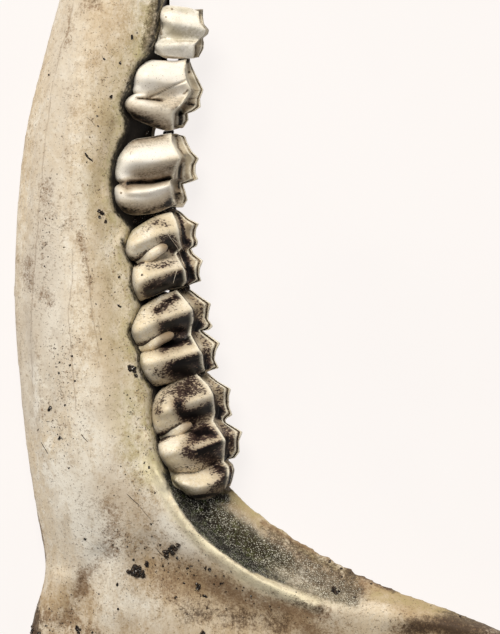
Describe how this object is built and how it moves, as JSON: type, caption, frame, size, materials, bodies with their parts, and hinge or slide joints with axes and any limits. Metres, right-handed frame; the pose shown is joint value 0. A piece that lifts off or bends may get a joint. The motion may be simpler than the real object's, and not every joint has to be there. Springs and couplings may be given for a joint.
{
  "type": "deer jawbone",
  "caption": "Left half of a deer's lower jaw lying on its inner side: slender body, flaring angle, curved coronoid, condyle, low-crowned cheek teeth and fan of front teeth.",
  "frame": {"origin": "middle of the bounding box's bottom, on the plane the bone rests on", "axes": "+X from the jaw's lower edge towards the biting edges of the cheek teeth, +Y towards the front teeth, +Z towards the outer side, which faces up"},
  "size_m": [0.1116, 0.208, 0.0221],
  "materials": {
    "bone": "dry, chalky, weathered bone",
    "enamel": "smooth, slightly glossy enamel"
  },
  "bodies": {
    "root": {"jawbone": "bone", "tooth_p2": "enamel", "tooth_p3": "enamel", "tooth_p4": "enamel", "tooth_m1": "enamel", "tooth_m2": "enamel", "tooth_m3": "enamel", "tooth_i1": "enamel", "tooth_i2": "enamel", "tooth_i3": "enamel", "tooth_canine": "enamel"}
  },
  "joints": []
}
